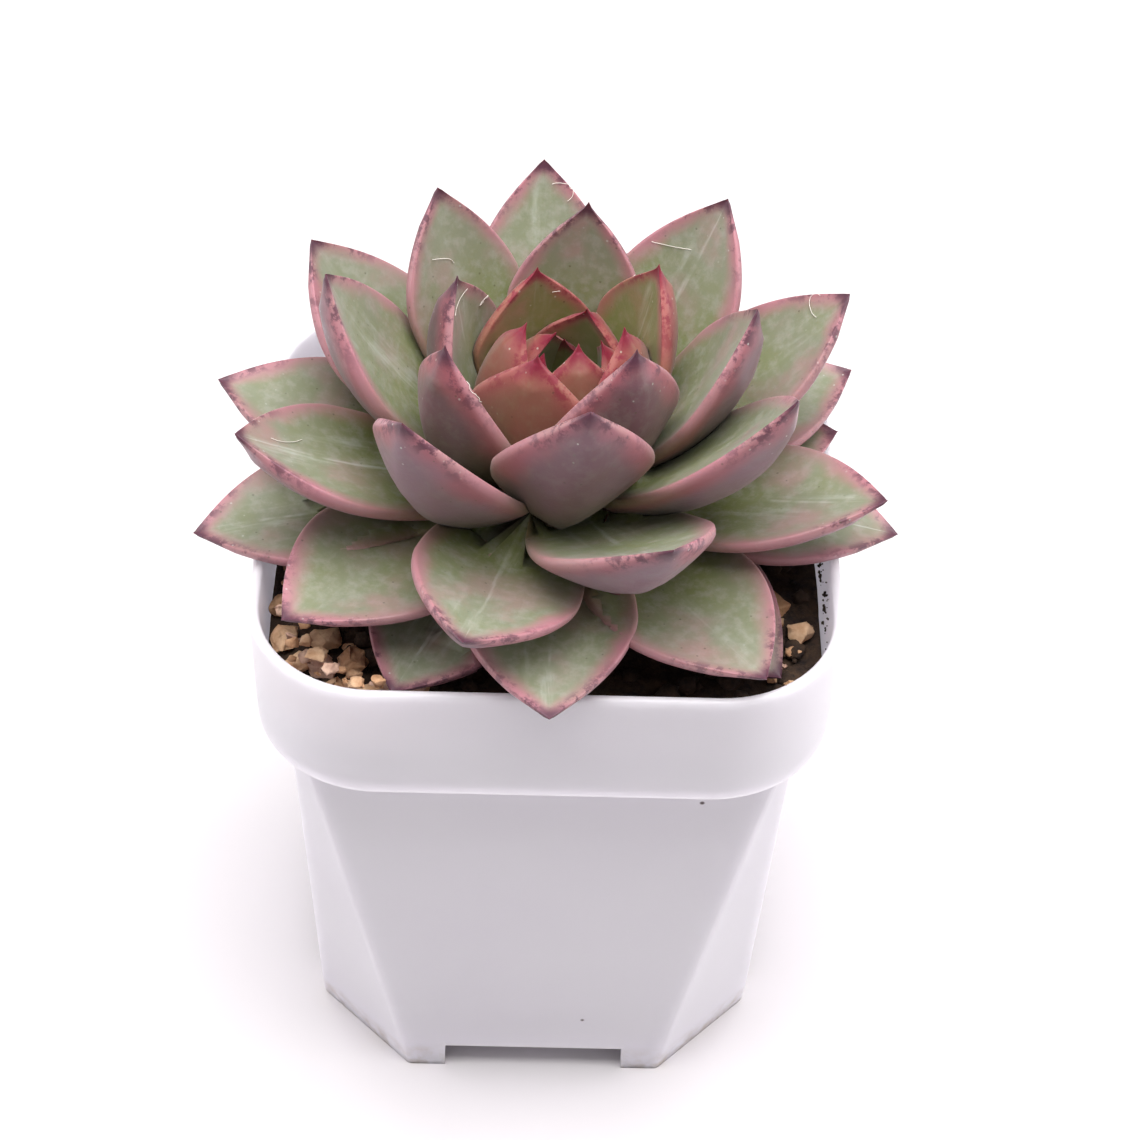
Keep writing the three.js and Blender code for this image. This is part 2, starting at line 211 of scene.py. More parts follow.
elevation, yaw = math.radians(CAMERA_ELEVATION), math.radians(CAMERA_YAW)
backwards = Vector((
    math.sin(yaw) * math.cos(elevation),
    -math.cos(yaw) * math.cos(elevation),
    math.sin(elevation),
))
camera_data = bpy.data.cameras.new("camera")
camera_data.lens, camera_data.sensor_width = LENS_MM, SENSOR_MM
camera_data.clip_start, camera_data.clip_end = 0.01, 10
camera = bpy.data.objects.new("camera", camera_data)
bpy.context.scene.collection.objects.link(camera)
target = Vector(to_frame([LOOKS_AT])[0])
camera.location = target + backwards * CAMERA_DISTANCE * MM
turn = backwards.to_track_quat("Z", "Y").to_matrix().to_4x4()
roll = Matrix.Rotation(math.radians(CAMERA_ROLL), 4, "Z")
camera.matrix_world = Matrix.Translation(camera.location) @ turn @ roll
bpy.context.scene.camera = camera
print(f"camera {CAMERA_DISTANCE:.0f} mm away, {CAMERA_ELEVATION:.0f} degrees up")


# %% Soft light and pale floor
def soft_light(name, place_mm, size_mm, watts):
    """A square softbox aimed at the plant."""
    data = bpy.data.lights.new(name, "AREA")
    data.energy, data.size = watts, size_mm * MM
    lamp = bpy.data.objects.new(name, data)
    bpy.context.scene.collection.objects.link(lamp)
    lamp.location = Vector(to_frame([place_mm])[0])
    lamp.rotation_euler = (lamp.location - target).to_track_quat("Z", "Y").to_euler()


world = bpy.data.worlds.new("light tent")
world.use_nodes = True
world.node_tree.nodes["Background"].inputs["Color"].default_value = linear("#ffffff")
world.node_tree.nodes["Background"].inputs["Strength"].default_value = 0.43
bpy.context.scene.world = world
bpy.context.scene.view_settings.view_transform = "Standard"

soft_light("overhead softbox", [10, 0, 540], 460, 4.6)
soft_light("left softbox", [-430, 0, 200], 320, 0.75)
soft_light("right softbox", [430, 0, 200], 320, 1.0)

FLOOR_REACH = 3  # metres from the middle to each side
floor_mesh = bpy.data.meshes.new("floor")
corners = [(FLOOR_REACH * x, FLOOR_REACH * y, 0) for x, y in ((-1, -1), (1, -1), (1, 1), (-1, 1))]
floor_mesh.from_pydata(corners, [], [(0, 1, 2, 3)])
floor = bpy.data.objects.new("floor", floor_mesh)
bpy.context.scene.collection.objects.link(floor)
matt_board, tree, surface = new_material("white matt board")
fill(tree, surface, Base_Color="#dcd8d9", Roughness=0.8)
floor.data.materials.append(matt_board)

# %% [markdown]
# ## The pot
#
# A nursery pot is injection moulded from polypropylene in one shot, so its wall is thin and even, its
# edges are slightly rounded, and its corners are cut by long three-cornered facets that let it leave
# the mould. One outline is worked out for every height. The stack goes up the outside, over the lip
# and down the inside, so the wall, the lip and the raised floor are one closed skin, as in the mould.

# %% Pot sizes
BAND_HEIGHT, BAND_TAPER, BAND_CORNER, BAND_OVERHANG = 17.5, 0.4, 15.0, 5.1
BODY_TAPER, FOOT_FACET, SHOULDER_FACET = 1.3, 12.0, 1.5
WALL, LIP_ROUNDING = 1.2, 0.5
NOTCH_WIDTH, NOTCH_HEIGHT = 23.4, 4.3
FLOOR_HEIGHT, DRAIN_HOLE, DRAIN_SPACING = 5.0, 6.0, 28.0
SOIL_BELOW_LIP, CLEARANCE = 8.5, 0.3
MOULD_ROUNDING = 1.1  # where a facet meets a flat side
BAND_BOTTOM = POT_HEIGHT - BAND_HEIGHT
ARC_STEPS = 9


def flat_stops(flat):
    """Stops across one flat side, with a pair at each edge of the drainage notch."""
    notch = NOTCH_WIDTH / 2
    half = [0, 4, 8, notch - 0.25, notch - 0.06, notch + 0.06, notch + 0.25, (notch + flat) / 2 + 0.2, flat]
    return [-x for x in half[:0:-1]] + half


def side_outline(half, cut, is_band):
    """One side of the outline, the one that faces +X, and the corner after it.

    The band's corner is an arc of radius cut. The body's is a facet that takes cut off each side."""
    if is_band:
        flat = half - cut
        turns = np.linspace(0, math.pi / 2, 2 * ARC_STEPS + 2)[1:-1]
        corner = [(flat + cut * math.cos(a), flat + cut * math.sin(a)) for a in turns]
        return [(half, y) for y in flat_stops(flat)] + corner
    rounding = min(MOULD_ROUNDING, 0.45 * cut)
    flat = half - cut - rounding * math.tan(math.pi / 8)
    turns = np.linspace(0, math.pi / 4, ARC_STEPS + 1)[1:]
    onto_facet = [(half - rounding * (1 - math.cos(a)), flat + rounding * math.sin(a)) for a in turns]
    off_facet = [(y, x) for x, y in reversed(onto_facet)]
    return [(half, y) for y in flat_stops(flat)] + onto_facet + off_facet


def all_round(side, z):
    """The outline of all four sides at height z."""
    ring = []
    for quarter in range(4):
        for x, y in side:
            for _ in range(quarter):
                x, y = -y, x
            ring.append((x, y, z))
    return ring


def band_ring(z, inset):
    half = POT_WIDTH / 2 - BAND_TAPER * min(max((POT_HEIGHT - z) / BAND_HEIGHT, 0), 1)
    return all_round(side_outline(half - inset, BAND_CORNER - inset, True), z)


def body_ring(z, inset, notched=False):
    up = min(max(z / BAND_BOTTOM, 0), 1)
    half = POT_WIDTH / 2 - BAND_OVERHANG - BODY_TAPER * (1 - up)
    facet = FOOT_FACET + (SHOULDER_FACET - FOOT_FACET) * up
    ring = all_round(side_outline(half - inset, max(facet - 0.6 * inset, 0.8), False), z)
    if not notched:
        return ring
    edge = NOTCH_WIDTH / 2
    return [(x, y, NOTCH_HEIGHT if min(abs(x), abs(y)) < edge else z) for x, y, z in ring]


print("points in one outline:", len(body_ring(0, 0)), len(band_ring(POT_HEIGHT, 0)))


# %% Pot skin
def make_pot():
    rings = [
        body_ring(FLOOR_HEIGHT, WALL),
        body_ring(NOTCH_HEIGHT + 0.2, WALL),
        body_ring(0, WALL - 0.1, True),
        body_ring(0, 0.15, True),
        body_ring(NOTCH_HEIGHT + 0.2, 0),
    ]
    rings += [body_ring(z, 0) for z in np.linspace(8, BAND_BOTTOM - 1, 14)]
    rings += [
        body_ring(BAND_BOTTOM - 0.3, 0),
        body_ring(BAND_BOTTOM, -0.25),
        band_ring(BAND_BOTTOM, 0.8),
        band_ring(BAND_BOTTOM + 0.12, 0.35),
        band_ring(BAND_BOTTOM + 0.4, 0.08),
        band_ring(BAND_BOTTOM + 0.9, 0),
    ]
    rings += [band_ring(z, 0) for z in np.linspace(BAND_BOTTOM + 3, POT_HEIGHT - 1.2, 6)]
    for angle in np.linspace(0, math.pi, 9):
        inset = WALL / 2 - WALL / 2 * math.cos(angle)
        rings.append(band_ring(POT_HEIGHT - LIP_ROUNDING * (1 - math.sin(angle)), inset))
    rings += [
        band_ring(POT_HEIGHT - 4, WALL),
        band_ring(BAND_BOTTOM + WALL, WALL),
        body_ring(BAND_BOTTOM + WALL, WALL),
        body_ring(BAND_BOTTOM / 2, WALL),
        body_ring(FLOOR_HEIGHT + WALL, WALL),
    ]
    pot = skinned("nursery_pot", rings)
    face_outwards(pot)
    return pot


def drill(piece, radius, places, low, high):
    """Cuts round upright holes through a piece, at places in millimetres."""
    cutter_work = bmesh.new()
    for x, y in places:
        centre = Vector(to_frame([(x, y, (low + high) / 2)])[0])
        bmesh.ops.create_cone(
            cutter_work, cap_ends=True, segments=40, radius1=radius * MM, radius2=radius * MM,
            depth=(high - low) * MM, matrix=Matrix.Translation(centre),
        )
    cutter_mesh = bpy.data.meshes.new("drill")
    cutter_work.to_mesh(cutter_mesh)
    cutter_work.free()
    cutter = bpy.data.objects.new("drill", cutter_mesh)
    bpy.context.scene.collection.objects.link(cutter)
    cut = piece.modifiers.new("drill", "BOOLEAN")
    cut.object, cut.operation, cut.solver = cutter, "DIFFERENCE", "EXACT"
    graph = bpy.context.evaluated_depsgraph_get()
    drilled = bpy.data.meshes.new_from_object(piece.evaluated_get(graph))
    piece.modifiers.clear()
    piece.data = drilled
    bpy.data.objects.remove(cutter)


pot = make_pot()
half_spacing = DRAIN_SPACING / 2
holes = [(x, y) for x in (-half_spacing, half_spacing) for y in (-half_spacing, half_spacing)]
drill(pot, DRAIN_HOLE / 2, holes, FLOOR_HEIGHT - 1, FLOOR_HEIGHT + WALL + 1)
soften(pot, 38)
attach(pot, "root")
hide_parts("pot")
print("pot skin:", len(pot.data.polygons), "faces")

# %% [markdown]
# ## Moulded polypropylene
#
# Polypropylene straight from a satin mould is milky: a little light goes into the wall and comes out
# again, which lifts the shadows and rounds the edges. It has a broad, soft highlight. A used pot also
# has a tide line of dried hard water and peat round its foot, and stray specks of peat dust.

# %% Polypropylene
def moulded_polypropylene():
    material, tree, surface = new_material("moulded milky polypropylene, satin")
    place = add_node(tree, "ShaderNodeTexCoord").outputs["Object"]
    height = add_node(tree, "ShaderNodeSeparateXYZ", in0=place).outputs["Z"]
    # The tide line fades out over the first 5 mm, broken up over patches about 2 mm across.
    patches = add_node(tree, NOISE, Vector=place, Scale=420.0, Detail=5.0)
    fade = add_node(tree, RANGE, in0=height, in1=0.0, in2=0.005, in3=1.0, in4=0.0)
    broken = add_node(tree, RANGE, in0=patches, in1=0.38, in2=0.7, in3=0.0, in4=0.9)
    tide = add_node(tree, MATH, TIMES, in0=fade, in1=broken)
    # Specks are 0.3 mm and some 6 mm apart.
    cells = add_node(tree, "ShaderNodeTexVoronoi", Vector=place, Scale=150.0, Randomness=1.0)
    near = add_node(tree, RANGE, in0=cells.outputs["Distance"], in1=0.03, in2=0.055, in3=1.0, in4=0.0)
    chosen = add_node(tree, "ShaderNodeSeparateColor", in0=cells.outputs["Color"]).outputs[0]
    rare = add_node(tree, "ShaderNodeMath", {"operation": "GREATER_THAN"}, in0=chosen, in1=0.86)
    speck = add_node(tree, MATH, TIMES, in0=near, in1=rare)
    clouds = add_node(tree, NOISE, Vector=place, Scale=35.0, Detail=3.0)
    clean = add_node(tree, MIX, COLOURS, in0=clouds, in6="#ddd5e6", in7="#e6e0ee")
    limed = add_node(tree, MIX, COLOURS, in0=tide, in6=clean, in7="#a8937a")
    dusty = add_node(tree, MIX, COLOURS, in0=speck, in6=limed, in7="#4d3c40")
    grain = add_node(tree, NOISE, Vector=place, Scale=2600.0, Detail=2.0)
    bump = add_node(tree, "ShaderNodeBump", Strength=0.05, Distance=0.0001, Height=grain)
    fill(
        tree, surface, Base_Color=dusty, Roughness=0.38, IOR=1.49, Subsurface_Weight=1.0,
        Subsurface_Radius=(1.0, 1.0, 1.0), Subsurface_Scale=0.0055, Normal=bump,
    )
    return material


pot.data.materials.clear()
pot.data.materials.append(moulded_polypropylene())
print("pot material:", pot.data.materials[0].name)

# %% [markdown]
# ## The compost
#
# Peat compost is dark brown fibre broken into crumbs. From close by, its surface is all lumps and
# holes, so a flat disc won't do. The plug that fills the pot gets an uneven top, and a few hundred
# loose crumbs lie on it. Their sizes follow sieved peat: many fine ones, and a few up to 3 mm.

# %% Compost plug
SOIL_TOP = POT_HEIGHT - SOIL_BELOW_LIP
AXIS_BACK, LEAN_RIGHT, LEAN_FRONT = 0.6, 0.08, 0.06
CROWN = POT_HEIGHT + 7  # height at which the youngest leaf grows, mm
SOIL_RINGS = 46  # rings of points across the top of the compost
random.seed(7)


def soil_height(x, y):
    """Heaped a little round the stem, and uneven everywhere else."""
    heap = 1.8 * math.exp(-(x * x + y * y) / 200)
    swell = 0.45 * math.sin(0.31 * x + 1) * math.cos(0.27 * y - 0.4)
    return SOIL_TOP + heap + swell + 0.3 * math.sin(0.7 * x - 0.5 * y)


def lumpy(x, y, size_mm):
    return noise.noise(Vector((x / size_mm, y / size_mm, 3.7)))


def make_compost():
    inset = WALL + CLEARANCE
    rings = [body_ring(z, inset) for z in (FLOOR_HEIGHT + inset, BAND_BOTTOM + inset)]
    edge = np.array(band_ring(BAND_BOTTOM + inset, inset))
    rings.append(edge)
    for share in np.linspace(1, 0.03, SOIL_RINGS):
        ring = []
        for x, y, _ in edge:
            x, y = x * share, y * share
            rough = 0.7 * lumpy(x, y, 2.6) + 0.45 * lumpy(x + 40, y, 1.1)
            ring.append((x, y, soil_height(x, y) + rough - 0.2))
        rings.append(ring)
    plug = skinned("peat_compost", rings)
    face_outwards(plug)
    soften(plug)
    return plug


compost = make_compost()
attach(compost, "root")
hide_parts("potting_soil")
print("compost skin:", len(compost.data.polygons), "faces")


# %% Loose crumbs
def add_lump(work, centre, size, seed, flatness=0.7, roughness=0.28):
    """Adds one irregular lump, size across, to a bmesh; everything in millimetres."""
    made = bmesh.ops.create_icosphere(work, subdivisions=2, radius=0.5)
    spin = Matrix.Rotation(seed * 2.4, 3, "Z") @ Matrix.Rotation(seed * 1.7, 3, "X")
    for vertex in made["verts"]:
        p = vertex.co.copy()
        swell = 1 + roughness * 2 * noise.noise(p * 3.1 + Vector((seed * 5.3, seed * 1.9, seed)))
        p = spin @ (p * swell)
        p.z *= flatness
        vertex.co = Vector(to_frame([np.array(centre) + np.array(p) * size])[0])


CORNER_FROM = 18  # mm from the middle, where the pot's rounded corners begin


def into_corner(x, y):
    """How far a place lies into a rounded corner, in millimetres."""
    return math.hypot(max(abs(x) - CORNER_FROM, 0), max(abs(y) - CORNER_FROM, 0))


def scattered(count, low, high, reach):
    """Random places on the compost, as (x, y, size), more of them small."""
    places = []
    while len(places) < count:
        x, y = random.uniform(-reach, reach), random.uniform(-reach, reach)
        if into_corner(x, y) > 13.5:
            continue
        places.append((x, y, low + (high - low) * random.random() ** 3))
    return places


def piece_from(work, name):
    mesh = bpy.data.meshes.new(name)
    work.to_mesh(mesh)
    work.free()
    piece = bpy.data.objects.new(name, mesh)
    bpy.context.scene.collection.objects.link(piece)
    soften(piece)
    return piece


CRUMB_COUNT = 620
work = bmesh.new()
for i, (x, y, size) in enumerate(scattered(CRUMB_COUNT, 0.6, 3.0, 32)):
    add_lump(work, (x, y, soil_height(x, y) + 0.15 * size), size, i + 1)
crumbs = piece_from(work, "peat_crumbs")
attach(crumbs, "root")
print("crumb faces:", len(crumbs.data.polygons))


# %% Peat
def sieved_peat():
    """Damp peat: nearly black in its hollows, warmer brown where a fibre is dry. Quite matt."""
    material, tree, surface = new_material("sieved peat, damp")
    place = add_node(tree, "ShaderNodeTexCoord").outputs["Object"]
    coarse = add_node(tree, NOISE, Vector=place, Scale=480.0, Detail=6.0, Roughness=0.7)
    fine = add_node(tree, NOISE, Vector=place, Scale=2200.0, Detail=4.0)
    spread = add_node(tree, RANGE, in0=coarse, in1=0.35, in2=0.68, in3=0.0, in4=1.0)
    tone = add_node(tree, MIX, COLOURS, in0=spread, in6="#211917", in7="#54402f")
    bump = add_node(tree, "ShaderNodeBump", Strength=0.7, Distance=0.0004, Height=fine)
    fill(tree, surface, Base_Color=tone, Roughness=0.92, Normal=bump)
    return material


peat = sieved_peat()
compost.data.materials.append(peat)
crumbs.data.materials.append(peat)
print("peat nodes:", len(peat.node_tree.nodes))

# %% [markdown]
# ## Leaves
#
# Each leaf is a thick wedge: a nearly flat upper face, a keeled underside, a rounded margin and a hard
# point. The plant makes them one at a time, a golden angle apart, so a leaf's number tells its age, and
# its age tells its length, width and slope. The same growth law that placed the solids is used here
# with many more stations. The solids are also trimmed by their neighbours and by the compost, and the
# skins aren't, so the two don't match everywhere: some boxes differ by several millimetres.

# %% Growth law
STEM_RADIUS = 3.2
LEAF_COUNT, BUD_LEAVES = 46, 12
LEAF_WIDTH, LEAF_THICKNESS = 19.5, 5.4
BUD_LEAF_WIDTH, BUD_LEAF_THICKNESS = 6.0, 2.4
FULL_REACH, BUD_REACH = 39.5, 9.0
GOLDEN_ANGLE, FIRST_LEAF_ANGLE = 137.508, 312.0
NODE_SPACING = 0.17
LEAN_HEIGHT = CROWN - 2  # the rosette leans about this height, mm
# How much longer the innermost leaves are drawn than their solids, in mm, and how much broader.
HEART = {0: 6.5, 1: 5.7, 2: 6.5, 3: 3.6}
HEART_BROADER = 0.7  # on each side

# No leaf grows quite to rule: turned degrees, longer mm, raised degrees, broader mm, rolled degrees.
WANDER = {
    4: (-1, 2, 7), 5: (4, 3, 1), 6: (1, 0, 3), 7: (0, 0, 2), 9: (5, -2, -4), 10: (1, -1, -3),
    12: (2, -2, -5), 14: (7, -1, 1, -1.6), 15: (3, -1, -2, -2), 16: (-1, 0, -3), 17: (3, 1, -4, -1.6),
    18: (7, 1, 2), 20: (-4, 2, 1), 21: (5, 2, 1), 22: (-1, -1, -1, -1.8), 23: (-4, 0, 9), 24: (1, 0, 1),
    26: (2, 0, 3, 1.4), 27: (0, -6, -4), 28: (-3, 1, 2), 29: (-2, 1, -4), 30: (0, -5, -4),
    31: (1, 0, 1, 1, -10), 32: (-8, 0, -9), 34: (-2, 2, -6, 1), 35: (0, -5, 0), 36: (1, 0, -1, 2),
    37: (-11, 2, -4), 38: (0, -6, 0), 39: (-4, 0, 2, 1), 40: (0, -3, 2), 41: (5, 2, 2, 1),
    42: (-11, 0, -7), 43: (0, -3, 0), 44: (0, -3, -4), 45: (-5, -4, 4),
}


def grown(young, old, n, scale):
    """A size that starts at young and levels off at old as leaf number n goes up."""
    return young + (old - young) * (1 - math.exp(-n / scale))


def curl_of(n):
    """How far a leaf bends along its length, in degrees."""
    if n < 12:
        return 26
    if n < 28:
        return 34
    return max(21 - 4 * (n - 28), -11)


def width_share(s, sharpness):
    """Share of the full width along a leaf. A young leaf has straighter sides and a sharper end."""
    foot, broadest = 0.36, 0.6
    rise = foot + (1 - foot) * np.sin(np.pi / 2 * np.clip(s / broadest, 0, 1)) ** 1.2
    t = np.clip((s - broadest) / (1 - broadest), 0, 1)
    rounded, straight = (1 - t ** 1.8) ** 0.9, 1 - t ** 1.3
    return np.where(s < broadest, rise, rounded + (straight - rounded) * sharpness)


def depth_share(s):
    full = 0.42 + 0.58 * np.sin(np.pi * (0.08 + 0.9 * s)) - 0.34 * s * s
    taper = 0.1 + 0.9 * np.sqrt(np.clip((1 - s) / 0.1, 0, 1))
    return np.where(s > 0.9, full * taper, full)


print(f"{LEAF_COUNT} leaves, the first {BUD_LEAVES} of them in the bud")

# %% Leaf skin
STATIONS, SPINE_STATIONS, AROUND = 62, 6, 44


def leaf_section():
    """Places round one cross section: share of the half width, and 0 on the face to 1 underneath."""
    turn = np.linspace(0, 2 * np.pi, AROUND, endpoint=False)
    share = np.sign(np.cos(turn)) * np.abs(np.cos(turn)) ** 0.8
    return share, np.sin(turn)


def make_leaf(n):
    turned, longer, raised, broader, rolled = (WANDER.get(n, (0, 0, 0)) + (0, 0))[:5]
    rng = np.random.default_rng(100 + n)
    heading = math.radians(FIRST_LEAF_ANGLE + GOLDEN_ANGLE * n + turned)
    lean = math.radians(rolled)
    half = (grown(BUD_LEAF_WIDTH, LEAF_WIDTH, n, 7) + broader) / 2 + (HEART_BROADER if n in HEART else 0)
    thickness = grown(BUD_LEAF_THICKNESS, LEAF_THICKNESS, n, 9)
    reach = grown(BUD_REACH, FULL_REACH, n, 11.3) + longer + HEART.get(n, 0)
    rise = math.radians(-26 + 114 * math.exp(-((n / 28.2) ** 2.2)) + raised)
    start = (STEM_RADIUS + CLEARANCE, CROWN - NODE_SPACING * n)
    hub = CROWN - 4 + n / 6
    tip = (STEM_RADIUS + reach * math.cos(rise), hub + reach * math.sin(rise))
    chord = math.hypot(tip[0] - start[0], tip[1] - start[1])
    slope = math.atan2(tip[1] - start[1], tip[0] - start[0])
    curl = math.radians(curl_of(n))
    radius = chord / (2 * math.sin(curl / 2))
    first = slope - curl / 2

    spine = 1.0 if n < 16 else 0.45
    # Stations stand closer together towards the point, and a few more carry the fine spine beyond it.
    blade = 1 - (1 - np.linspace(0, 1, STATIONS - SPINE_STATIONS)) ** 1.35
    s = np.append(blade, 1 + spine / chord * np.linspace(0, 1, SPINE_STATIONS + 1)[1:])
    beyond = (s - 1) * chord  # mm past the end of the blade
    sharpness = min(max(1.15 - n / 20, 0), 1)
    angle = first + curl * s
    out = start[0] + radius * (np.sin(angle) - math.sin(first))
    height = start[1] - radius * (np.cos(angle) - math.cos(first))
    w = half * width_share(s, sharpness) + np.where(beyond < 0, 0.45 * np.exp(beyond / 0.8), 0.45)
    w = w * np.clip(1 - beyond / spine, 0, 1) ** 1.2 + 0.03
    keel = thickness * depth_share(s)
    margin = np.minimum(0.5 + 0.25 * keel, 1.3) * np.where(s > 0.9, 0.55 + 4.5 * np.clip(1 - s, 0, 1), 1)
    margin = np.minimum(margin * np.clip(1 - beyond / spine, 0, 1) + 0.03, 1.6 * w)

    share, side = leaf_section()
    S, V = np.meshgrid(s, share, indexing="ij")
    under = np.broadcast_to(side < 0, S.shape)
    bulge = np.abs(np.broadcast_to(side, S.shape))
    W, K, M = w[:, None], keel[:, None], margin[:, None]
    # The face is a shallow trough; the underside drops by a rounded margin and then the keel.
    trough = 0.13 * W * np.abs(V) ** 1.7
    ripple = 0.10 * np.sin(2 * np.pi * (1.3 * S + rng.random())) * np.abs(V) ** 3
    over = trough + ripple - M * 0.5 * (1 - np.clip(bulge / 0.35, 0, 1)) ** 2
    below = trough + ripple - M * (0.5 + 0.5 * np.clip(bulge / 0.35, 0, 1) ** 0.5) \
        - K * (1 - np.abs(V) ** 1.4) * np.clip(bulge / 0.5, 0, 1) ** 0.6
    up = np.where(under, below, over)
    aside = V * W
    across = aside * math.cos(lean) - up * math.sin(lean)
    lift = aside * math.sin(lean) + up * math.cos(lean)
    r = out[:, None] - np.sin(angle)[:, None] * lift
    z = height[:, None] + np.cos(angle)[:, None] * lift
    x = LEAN_RIGHT * (z - LEAN_HEIGHT) + r * math.cos(heading) - across * math.sin(heading)
    y = AXIS_BACK - LEAN_FRONT * (z - LEAN_HEIGHT) + r * math.sin(heading) + across * math.cos(heading)
    rings = np.stack([x, y, z], axis=-1)
    marks = {
        "along": S,
        "across": V,
        "under": np.where(under, np.clip(bulge / 0.45, 0, 1), 0),
        "edge_mm": (1 - np.abs(V)) * W * LEAF_WIDTH / 2 / half,  # as on a full-grown leaf
        "tip_mm": (1 - S) * chord,
        "age": np.full(S.shape, n / (LEAF_COUNT - 1)),
        "seed": np.full(S.shape, 10 * rng.random()),
        "aside_mm": V * W,
        # Per-leaf strength of the pale streaks: rubbed wax, and the painted highlight in the trough.
        "worn": np.full(S.shape, rng.choice([0.1, 0.25, 0.6, 1.0])),
    }
    leaf = skinned(f"waxy_leaf_{n + 1:02d}", rings, marks)
    face_outwards(leaf)
    soften(leaf)
    return leaf


leaves = [make_leaf(n) for n in range(LEAF_COUNT)]
for n, leaf in enumerate(leaves):
    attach(leaf, "root")
    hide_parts(f"leaf_{n + 1:02d}")
print("leaves:", len(leaves), "with", sum(len(leaf.data.polygons) for leaf in leaves), "faces")

# %% [markdown]
# ## Leaves that press on each other
#
# Leaves in a tight rosette touch, and the older one is dented by the younger. Any point of an older
# leaf that would lie inside a younger one is brought out to just above its nearest surface. A leaf
# across the lip is dented by the lip, from below. The four heart leaves are left alone, because their
# feet only run into their neighbours' out of sight. The dents are mostly hidden, but without them the
# meshes would run through each other.

# %% Press older leaves out of younger ones
PRESSED_GAP = 0.1 * MM
FIRST_LOW_LEAF = 31  # counting from 0; older leaves than this may hang over the lip


def tree_of(piece):
    points = [v.co.copy() for v in piece.data.vertices]
    return BVHTree.FromPolygons(points, [tuple(p.vertices) for p in piece.data.polygons])


def points_of(piece):
    points = np.empty(3 * len(piece.data.vertices))
    piece.data.vertices.foreach_get("co", points)
    return points.reshape(-1, 3)


def press(points, tree, low, high, direction=None):
    """Brings points inside another piece out of it: along a direction, or by the shortest way."""
    moved = 0
    for i in np.nonzero(np.all((points > low) & (points < high), axis=1))[0]:
        here = Vector(points[i])
        spot, normal, _, _ = tree.find_nearest(here)
        if not spot or (here - spot).dot(normal) >= 0:
            continue
        way_out = tree.ray_cast(here, direction)[0] if direction else spot
        if way_out:
            points[i] = way_out + (direction or normal) * PRESSED_GAP
            moved += 1
    return moved


pot_tree, pot_points = tree_of(pot), points_of(pot)
trees, leaf_trees, moved = [], {}, 0
for n, leaf in enumerate(leaves):
    if n in HEART:
        continue
    points = points_of(leaf)
    for tree, low, high in trees:
        moved += press(points, tree, low, high)
    if n >= FIRST_LOW_LEAF:
        moved += press(points, pot_tree, pot_points.min(axis=0), pot_points.max(axis=0), Vector((0, 0, 1)))
    leaf.data.vertices.foreach_set("co", points.ravel())
    leaf.data.update()
    trees.append((tree_of(leaf), points.min(axis=0), points.max(axis=0)))
    leaf_trees[n] = trees[-1][0]
print("points pressed out:", moved)
